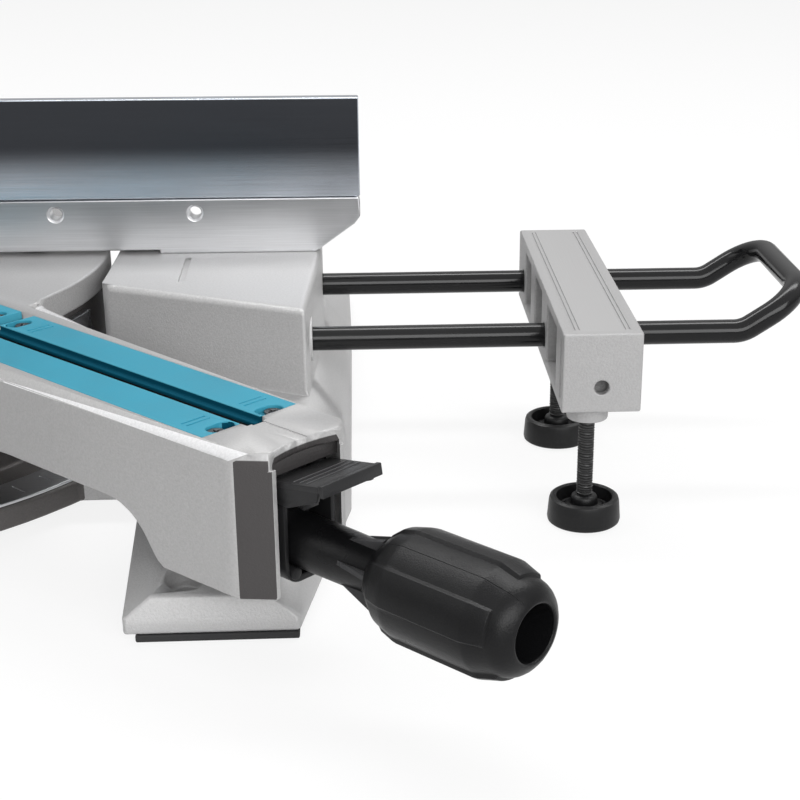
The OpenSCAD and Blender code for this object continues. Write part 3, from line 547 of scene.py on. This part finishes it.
arm_metal = cast_finish("arm_metal", (0.42, 0.417, 0.417), table_top, arm_turn, (0.44, 0.437, 0.437))
corner_painted_shade = cast_finish("corner_painted_shade", shade, unmilled, arm_turn, (0.08, 0.076, 0.076))
lip_painted_shade = cast_finish("lip_painted_shade", (0.5, 0.497, 0.497), unmilled, arm_turn, low=(lip_shade_top, shade))
edge_painted_highlight = cast_finish("edge_painted_highlight", (0.78, 0.78, 0.79), unmilled, arm_turn)
slot_painted_shade = cast_finish("slot_painted_shade", black, unmilled, arm_turn, black)
table = rounded("turntable", 0.0028, arm_metal, steps=3, share=arm_edges)
for material in (edge_painted_highlight, slot_painted_shade, lip_painted_shade):
    table.data.materials.append(material)
edge_index, slot_index, lip_index = 1, 2, 3
# The corner and the lip's front below a height take painted shade, the slot's floor black painted shade, and
# the long edge a painted highlight.
for face in table.data.polygons:
    out, across = along_arm(face.center)
    height = face.center.z
    on_corner = out > corner_out and face.normal.dot(corner_way) > 0.98
    on_lip = out > lip_front and abs(across) < lip_half and height > lip_low
    if on_corner or (on_lip and face.normal.dot(front_way) > 0.6):
        face.material_index = lip_index
    elif slot_start < out < slot_end and abs(across) < slot_half and height < slot_top:
        face.material_index = slot_index
    elif edge_start < out < edge_end and height > edge_low and face.normal.dot(edge_way) > 0.985:
        face.material_index = edge_index


def block_of(work, low, high, place):
    """A box added to a mesh in the making, between two corners, put in place by a function."""
    corners = [[high[k] if bit >> k & 1 else low[k] for k in range(3)] for bit in range(8)]
    points = [work.verts.new(place(*corner)) for corner in corners]
    for ring in ((0, 2, 3, 1), (4, 5, 7, 6), (0, 1, 5, 4), (2, 6, 7, 3), (0, 4, 6, 2), (1, 3, 7, 5)):
        work.faces.new([points[k] for k in ring])


def smoothed(mesh, angle):
    """Shade a mesh smooth, apart from edges sharper than an angle in degrees."""
    for face in mesh.polygons:
        face.use_smooth = True
    mesh.set_sharp_from_angle(angle=math.radians(angle))


def piece_of(name, work, material, node, stands_for, bevel=0.0, smooth=35):
    """A finished piece from a mesh in the making: closed, turned outwards and its edges rounded."""
    bmesh.ops.recalc_face_normals(work, faces=work.faces)
    mesh = bpy.data.meshes.new(name)
    work.to_mesh(mesh)
    work.free()
    piece = bpy.data.objects.new(name, mesh)
    scene.collection.objects.link(piece)
    if bevel:
        mod = piece.modifiers.new("edge", "BEVEL")
        mod.width = bevel
        mod.segments = 2
        mod.angle_limit = math.radians(30)
        bake(piece, name)
    smoothed(piece.data, smooth)
    piece.data.materials.clear()
    piece.data.materials.append(material)
    join_body(piece, node, stands_for)


# The brow, a block under the lip, takes the corner's painted shade.
brow = bmesh.new()
block_of(brow, brow_low, brow_high, on_arm)
piece_of("arm_brow", brow, corner_painted_shade, "turntable", False, 0.0006)

# Kerf boards: moulded inserts on both sides of the blade's slot, each screwed down in
# countersunk pockets. They wear paler along their edges, and the slot's walls are painted dark as painted
# shade.
board_plastic = moulded_finish("board_plastic", (0.042, 0.29, 0.405), 0.45, 1100, 0.25,
                               (0.1, 0.38, 0.48), shine=0.2)
kerf_painted_shade = moulded_finish("kerf_painted_shade", (0.002, 0.06, 0.1), 0.6, 1100, 0.25,
                              (0.003, 0.07, 0.11), shine=0.03)
kerf_half, kerf_deep = 0.009, 0.0006
boards = rounded("kerf_boards", 0.0006, board_plastic)
boards.data.materials.append(kerf_painted_shade)
# Faces low in the slot take the painted shade.
for face in boards.data.polygons:
    if abs(along_arm(face.center)[1]) < kerf_half and face.center.z < table_top - kerf_deep:
        face.material_index = 1
board_screw = moulded_finish("board_screw", (0.06, 0.06, 0.064), 0.3, 700, 0.2, (0.3, 0.3, 0.3), metal=0.9)
rounded("table_screws", 0.0002, board_screw, steps=1)

# Arm mouth: a black moulded box with rounded lower corners, open to the front, screwed into the
# arm. Two ears at its top carry the lever's pin, and a boss holds its front screw.
mouth_plastic = moulded_finish("mouth_plastic", (0.006, 0.006, 0.0065), 0.34, 1300, 0.3,
                               (0.05, 0.05, 0.052), shine=0.2)
plate_low, plate_high = (372, -21.8, 39.6), (378, 21.8, 93.5)
mouth_back, mouth_front, mouth_top = 377, 390.4, 80
ear_in, ear_out, ear_low, ear_high, ear_front = 10.2, 13.2, 78, 87, 392.4
boss_middle, boss_r, boss_front = (-8.6, 46.6), 2.6, 391.4


def prism_of(work, outline, low, high, place):
    """A flat outline given thickness between two offsets, put in place by a function."""
    sides = [[work.verts.new(place(x, y, z)) for x, z in outline] for y in (low, high)]
    work.faces.new(sides[0])
    work.faces.new(sides[1][::-1])
    for k in range(len(outline)):
        m = (k + 1) % len(outline)
        work.faces.new([sides[0][k], sides[0][m], sides[1][m], sides[1][k]])


def arc_of(middle, radius, start, end, count):
    """Points of an arc, with its angles in degrees."""
    turns = [math.radians(start + (end - start) * k / count) for k in range(count + 1)]
    return [(middle[0] + radius * math.cos(a), middle[1] + radius * math.sin(a)) for a in turns]


def round_of(middle, radius):
    """Points of a full circle."""
    return arc_of(middle, radius, 0, 345, 23)


def channel_line(half, radius, height):
    """A channel open at the top, with round lower corners whose middles lie at a height."""
    return ([(-half, mouth_top)] + arc_of((radius - half, height), radius, 180, 270, 8)
            + arc_of((half - radius, height), radius, 270, 360, 8) + [(half, mouth_top)])


def mouth_place(across, out, height):
    """From an outline that faces the front to the arm."""
    return on_arm(out, across, height)


mouth = bmesh.new()
block_of(mouth, plate_low, plate_high, on_arm)
wall_line = channel_line(13.6, 8, 50) + channel_line(11.5, 6, 51)[::-1]
prism_of(mouth, wall_line, mouth_back, mouth_front, mouth_place)
for low, high in ((-ear_out, -ear_in), (ear_in, ear_out)):
    block_of(mouth, (mouth_back, low, ear_low), (ear_front, high, ear_high), on_arm)
prism_of(mouth, round_of(boss_middle, boss_r), mouth_back, boss_front, mouth_place)
piece_of("front_plate_skin", mouth, mouth_plastic, "front_plate", True, 0.0004)

# Stop lever: a moulded thumb plate on a pin, with two side webs, a rolled front lip and a few
# raised lines on top. Its tail draws the stop plunger.
lever_plastic = moulded_finish("lever_plastic", (0.009, 0.009, 0.0095), 0.3, 1300, 0.3,
                               (0.06, 0.06, 0.062), shine=0.18)
pin_out, pin_z = 389.5, 85
lever_slope = math.radians(10)
thumb_low, thumb_high = (-3.2, -15.7, 0), (24.6, 15.7, 2.5)
roll_low, roll_high = (23.2, -15.9, -1.9), (25.6, 15.9, 3.0)
web_line = [(-3, 0.5), (-3, -6.4), (3.5, -8), (20.6, -4.2), (22.6, 0.5)]
web_in, web_out = 13.7, 15.5
barrel_r, barrel_half = 2.4, 9.9


def lever_place(out, across, height):
    """From the plate's own slope to the arm."""
    c, d = math.cos(lever_slope), math.sin(lever_slope)
    return on_arm(pin_out + c * out - d * height, across, pin_z + d * out + c * height)


lever = bmesh.new()
block_of(lever, thumb_low, thumb_high, lever_place)
block_of(lever, roll_low, roll_high, lever_place)
for low, high in ((-web_out, -web_in), (web_in, web_out)):
    prism_of(lever, web_line, low, high, lever_place)
for out in (8.0, 11.6, 15.2):
    block_of(lever, (out, -14.4, 2), (out + 0.7, 14.4, 2.85), lever_place)
prism_of(lever, round_of((0, 0), barrel_r), -barrel_half, barrel_half,
         lambda x, y, z: on_arm(pin_out + x, y, pin_z + z))
block_of(lever, (pin_out - 0.8, -4, 72), (pin_out + 2.2, 4, 84), on_arm)
piece_of("detent_lever_skin", lever, lever_plastic, "detent_lever", True, 0.0004)

# Grip: a hollow black moulding on the lock's rod. Six fins stiffen the neck, and four raised
# panels run along the body and end in a step before the rounded nose. A fine mould line shows.
grip_plastic = moulded_finish("grip_plastic", (0.006, 0.006, 0.0065), 0.3, 1500, 0.45,
                              (0.05, 0.05, 0.052), shine=0.2)
grip_z = 57
panel_start, panel_wide = 51, 40
panel_ramp = ((-1.8, 0), (-1.1, 0.12), (1.1, 0.88), (1.8, 1))
between = (5, 9, 13, 17, 21, 22.6, 23, 23.4, 25, 29, 33, 37, 41, 45)
seam_turn, seam_high = 24, 0.14
body_start, body_end, bore_r = 434, 502.5, 11
fin_line, fin_half = [(413, 10), (434.4, 10), (434.4, 16.2)], 0.9
grip_rows = (
    (378.3, 5.05, 5.05), (378.3, 11, 11), (386, 11, 11), (410, 10.8, 10.8), (433.3, 10.4, 10.4),
    (433.7, 10.6, 10.6), (433.9, 14.8, 15.5), (434.1, 15.3, 16.1), (434.6, 15.8, 16.7), (437.2, 17.6, 18.6),
    (439.7, 19.3, 20.4), (440.3, 19.5, 20.7), (445.7, 20.9, 22.1), (446.5, 21.1, 22.3), (448.5, 21.3, 22.6),
    (460, 21.3, 22.6), (478, 21.3, 22.6), (485.6, 21.2, 22.6), (486.6, 21.1, 22.5), (487.4, 20.9, 22.3),
    (491, 19.9, 21.2), (494.5, 18.9, 20.2), (495, 18.8, 19.9), (495.4, 18.7, 18.7), (497.2, 18.2, 18.2),
    (498.8, 17.4, 17.4), (500.2, 16.3, 16.3), (501.5, 14.8, 14.8), (502.4, 13.4, 13.4), (502.9, 12.4, 12.4),
    (503, 11.8, 11.8), (502.8, 11.3, 11.3), (502.3, 11, 11), (476, 11, 11), (476, 5.05, 5.05))
grip_turns = []
for quarter in range(4):
    start = panel_start + 90 * quarter
    end = start + panel_wide
    grip_turns += [(start + d, h) for d, h in panel_ramp]
    grip_turns += [(start + panel_wide * k / 10, 1) for k in range(1, 10)]
    grip_turns += [(end + d, 1 - h) for d, h in panel_ramp]
    grip_turns += [(end + d, 0) for d in between]
grip = bmesh.new()
rings = []
for out, low, high in grip_rows:
    ring = []
    for turn, raised in grip_turns:
        on_seam = (turn - seam_turn) % 180 < 1e-6 and body_start < out < body_end and low > bore_r
        radius = low + (high - low) * raised + (seam_high if on_seam else 0.0)
        a = math.radians(turn)
        ring.append(grip.verts.new(on_arm(out, -radius * math.sin(a), grip_z + radius * math.cos(a))))
    rings.append(ring)
for a, b in zip(rings, rings[1:] + rings[:1]):
    for k in range(len(a)):
        m = (k + 1) % len(a)
        grip.faces.new([a[k], a[m], b[m], b[k]])
for turn in range(14, 374, 60):
    c, d = math.cos(math.radians(turn)), math.sin(math.radians(turn))
    prism_of(grip, fin_line, -fin_half, fin_half,
             lambda x, y, z: on_arm(x, -z * d - y * c, grip_z + z * c - y * d))
piece_of("grip_knob_skin", grip, grip_plastic, "grip_knob", True, smooth=28)

# Wings: two coated steel bars bent to one raised loop, on each side of the saw. They slide in the
# base and carry the work support.
rod_coat = moulded_finish("rod_coat", (0.006, 0.006, 0.0065), 0.14, 300, 0.05, (0.02, 0.02, 0.02), shine=0.28)
rod_r, rod_sides = 0.006, 40
rod_front, rod_rear = -0.0795, 0.0179
rod_z, loop_z = 0.0765, 0.0961
front_end, rear_end = 0.24, 0.186
knee_x, loop_x = 0.4918, 0.522
knee_bend, loop_bend = 0.016, 0.021
two_sides = ((1, "right"), (-1, "left"))


def build_tree(name, inputs, material):
    """A geometry tree that ends in real, painted geometry. With it come its input node, each
    input's identifier and the socket that takes the shape."""
    tree = bpy.data.node_groups.new(name, "GeometryNodeTree")
    keys = {key: tree.interface.new_socket(key, in_out="INPUT", socket_type="NodeSocket" + kind).identifier
            for key, kind in inputs}
    tree.interface.new_socket("Geometry", in_out="OUTPUT", socket_type="NodeSocketGeometry")
    group_in = add_node(tree, "NodeGroupInput")
    group_out = add_node(tree, "NodeGroupOutput")
    real = add_node(tree, "GeometryNodeRealizeInstances")
    paint = add_node(tree, "GeometryNodeSetMaterial", {"Material": material})
    wire(tree, (real.outputs["Geometry"], paint.inputs["Geometry"]),
         (paint.outputs["Geometry"], group_out.inputs["Geometry"]))
    return tree, group_in, keys, real.inputs["Geometry"]


def swept(tree, line, radius, sides):
    """A bar with a number of sides swept along a line, with its ends closed."""
    section = add_node(tree, "GeometryNodeCurvePrimitiveCircle", {"Resolution": sides})
    sweep = add_node(tree, "GeometryNodeCurveToMesh", {"Fill Caps": True})
    wire(tree, (radius, section.inputs["Radius"]), (line, sweep.inputs["Curve"]),
         (section.outputs["Curve"], sweep.inputs["Profile Curve"]))
    return sweep.outputs["Mesh"]


def grown(name, tree, values, node, stands_for, source=None):
    """A piece made by a node tree, as a plain mesh fixed to the body of a CAD node."""
    piece = bpy.data.objects.new(name, source or bpy.data.meshes.new(name))
    scene.collection.objects.link(piece)
    mod = piece.modifiers.new("build", "NODES")
    mod.node_group = tree
    for key, value in values.items():
        mod[key] = value
    bake(piece, name)
    smoothed(piece.data, 50)
    join_body(piece, node, stands_for)


def bent(corners, radii):
    """Points along straight runs that meet in round bends."""
    points = [corners[0]]
    for before, corner, after, radius in zip(corners, corners[1:], corners[2:], radii):
        u, v = (before - corner).normalized(), (after - corner).normalized()
        half = u.angle(v) / 2
        middle = corner + (u + v).normalized() * radius / math.sin(half)
        first = corner + u * radius / math.tan(half)
        last = corner + v * radius / math.tan(half)
        p, q = first - middle, last - middle
        whole = p.angle(q)
        for k in range(13):
            f = k / 12
            way = p * math.sin((1 - f) * whole) + q * math.sin(f * whole)
            points.append(middle + way / math.sin(whole))
    return points + [corners[-1]]


bar_inputs = (("Geometry", "Geometry"), ("Radius", "Float"))
bar, group_in, bar_keys, bar_shape = build_tree("round_bar", bar_inputs, rod_coat)
line = add_node(bar, "GeometryNodeMeshToCurve")
wire(bar, (group_in.outputs["Geometry"], line.inputs["Mesh"]),
     (swept(bar, line.outputs["Curve"], group_in.outputs["Radius"], rod_sides), bar_shape))
for side, name in two_sides:
    run = bent([Vector((side * x, y, z)) for x, y, z in (
        (front_end, rod_front, rod_z), (knee_x, rod_front, rod_z), (loop_x, rod_front, loop_z),
        (loop_x, rod_rear, loop_z), (knee_x, rod_rear, rod_z), (rear_end, rod_rear, rod_z))],
        (knee_bend, loop_bend, loop_bend, knee_bend))
    track = bpy.data.meshes.new(name + "_line")
    track.from_pydata(run, [(k, k + 1) for k in range(len(run) - 1)], [])
    grown(name + "_rods_skin", bar, {bar_keys["Radius"]: rod_r}, name + "_rods", True, track)

# Work supports and their levelling feet: a cast block, ribbed and open inside, and two screw feet
# in it, each a cup pad of hard plastic moulded on a rolled thread.
foot_plastic = moulded_finish("foot_plastic", (0.008, 0.008, 0.0085), 0.36, 1000, 0.25,
                              (0.05, 0.05, 0.05), shine=0.25)
thread_coat = moulded_finish("thread_coat", (0.007, 0.007, 0.0075), 0.26, 700, 0.15,
                             (0.06, 0.06, 0.06), shine=0.2)
support_metal = cast_finish("support_metal", (0.37, 0.367, 0.368), table_top, math.radians(90),
                            (0.4, 0.397, 0.398))
foot_x = 405.1
foot_ys = (("front", -136), ("rear", -28))
foot_sides = 56
thread_r, thread_ridge, ridge_sides = 3.51, 0.47, 4
thread_start, thread_high, thread_pitch = 14.2, 48, 1.25
foot_line = (
    (0.01, 1.5), (12.8, 1.5), (14.3, 0), (16.8, 0), (17.5, 0.6), (17.8, 2), (17.1, 10.6), (16.6, 12.2),
    (15.4, 13), (14.3, 13), (13.6, 12.5), (12.6, 6.6), (12, 6), (10, 6), (9.6, 6.6), (9.2, 8), (8.8, 8.4),
    (6.9, 8.8), (6.6, 9.2), (6.5, 12), (5.9, 13), (4.9, 13.6), (3.5, 13.8), (3.5, 62), (3.96, 62.5),
    (3.96, 79.5), (0.01, 80))


def turned(outline, x, y, count):
    """A mesh in the making: an outline of radii and heights turned round an upright line at x and y."""
    work = bmesh.new()
    turns = [math.tau * k / count for k in range(count)]
    rings = [[work.verts.new((mm * (x + r * math.cos(a)), mm * (y + r * math.sin(a)), mm * z)) for a in turns]
             for r, z in outline]
    for a, b in zip(rings, rings[1:]):
        for k in range(count):
            m = (k + 1) % count
            work.faces.new([a[k], a[m], b[m], b[k]])
    work.faces.new(rings[0][::-1])
    work.faces.new(rings[-1])
    return work


thread_inputs = (("Turns", "Float"), ("Radius", "Float"), ("Height", "Float"), ("Ridge", "Float"),
                 ("Place", "Vector"))
thread, group_in, thread_keys, thread_shape = build_tree("rolled_thread", thread_inputs, thread_coat)
coil = add_node(thread, "GeometryNodeCurveSpiral", {"Resolution": 28})
shift = add_node(thread, "GeometryNodeTransform")
wire(thread, (group_in.outputs["Turns"], coil.inputs["Rotations"]),
     (group_in.outputs["Radius"], coil.inputs["Start Radius"]),
     (group_in.outputs["Radius"], coil.inputs["End Radius"]),
     (group_in.outputs["Height"], coil.inputs["Height"]),
     (swept(thread, coil.outputs["Curve"], group_in.outputs["Ridge"], ridge_sides), shift.inputs["Geometry"]),
     (group_in.outputs["Place"], shift.inputs["Translation"]),
     (shift.outputs["Geometry"], thread_shape))
for side, name in two_sides:
    rounded(name + "_support", 0.001, support_metal)
    for end, foot_y in foot_ys:
        node = name + "_foot_" + end
        foot = turned(foot_line, side * foot_x, foot_y, foot_sides)
        piece_of(node + "_skin", foot, foot_plastic, node, True, smooth=32)
        thread_values = {"Turns": thread_high / thread_pitch, "Radius": thread_r * mm,
                         "Height": thread_high * mm, "Ridge": thread_ridge * mm,
                         "Place": (side * foot_x * mm, foot_y * mm, thread_start * mm)}
        grown(node + "_thread", thread, {thread_keys[key]: value for key, value in thread_values.items()},
              node, False)

# Hand parts: the clamp screws, lock levers, latch pin and shaft lock, with the cap on the ends of
# the rails. They are black mouldings, screwed in or pressed on.
for node in ("right_rod_clamp", "left_rod_clamp", "right_fence_knob", "left_fence_knob", "slide_lock",
             "bevel_lever", "latch_pin", "rail_end_cap", "shaft_lock"):
    rounded(node, 0.0008, foot_plastic)

# Column and carriage: the cast upright tilts behind the turntable and carries the polished
# slide rails in bronze bushes. The bracket at their front end holds the head's hinge.
rounded("bevel_arm", 0.003, base_metal, steps=3)
rounded("head_bracket", 0.0018, base_metal, steps=3)
rail_chrome = steel_finish("rail_chrome", (0.72, 0.73, 0.75), 0.08, math.radians(45))
rounded("slide_rails", 0.0006, rail_chrome)
bush_bronze = steel_finish("bush_bronze", (0.66, 0.47, 0.22), 0.3, 0.0)
rounded("rail_bushes", 0.0003, bush_bronze, steps=1)

# Saw head: die-cast gear housing, moulded motor housing and cap, blade case, swinging guard,
# loop handle with its trigger and lock-off button. The handle's edges stay sharp at the trigger.
rounded("gear_housing", 0.0022, base_metal, steps=3)
housing_shell = moulded_finish("housing_shell", (0.03, 0.031, 0.034), 0.4, 900, 0.3, (0.07, 0.07, 0.075))
for node in ("motor_housing", "motor_cap", "blade_case", "lower_guard"):
    rounded(node, 0.0011, housing_shell)
trigger_room = 0.008
trigger_low, trigger_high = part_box("trigger")


def handle_edges(p):
    """The share of the full rounding: little round the trigger's slot, whole elsewhere."""
    near = all(trigger_low[k] - trigger_room < p[k] < trigger_high[k] + trigger_room for k in range(3))
    return 0.06 if near else 1.0


rounded("handle", 0.006, grip_plastic, steps=4, share=handle_edges)
rounded("trigger", 0.002, foot_plastic, steps=3)
rounded("dust_nozzle", 0.0008, foot_plastic)
rounded("cord_gland", 0.0008, pad_rubber)
button_red = moulded_finish("button_red", (0.5, 0.045, 0.02), 0.35, 800, 0.2, (0.62, 0.14, 0.1))
rounded("lock_off_button", 0.0008, button_red)

# Blade and motor: a ground steel blade between turned flanges, and the wound stator and armature
# pressed into the motor housing and on its shaft.
blade_steel = steel_finish("blade_steel", (0.6, 0.61, 0.63), 0.22, 0.3)
rounded("saw_blade", 0.0002, blade_steel, steps=1)
rounded("blade_flanges", 0.0005, bar_steel)
winding = moulded_finish("winding", (0.32, 0.13, 0.05), 0.35, 500, 0.4, (0.5, 0.26, 0.12), metal=0.6)
rounded("stator", 0.0008, winding)
rounded("armature", 0.0004, winding, steps=1)
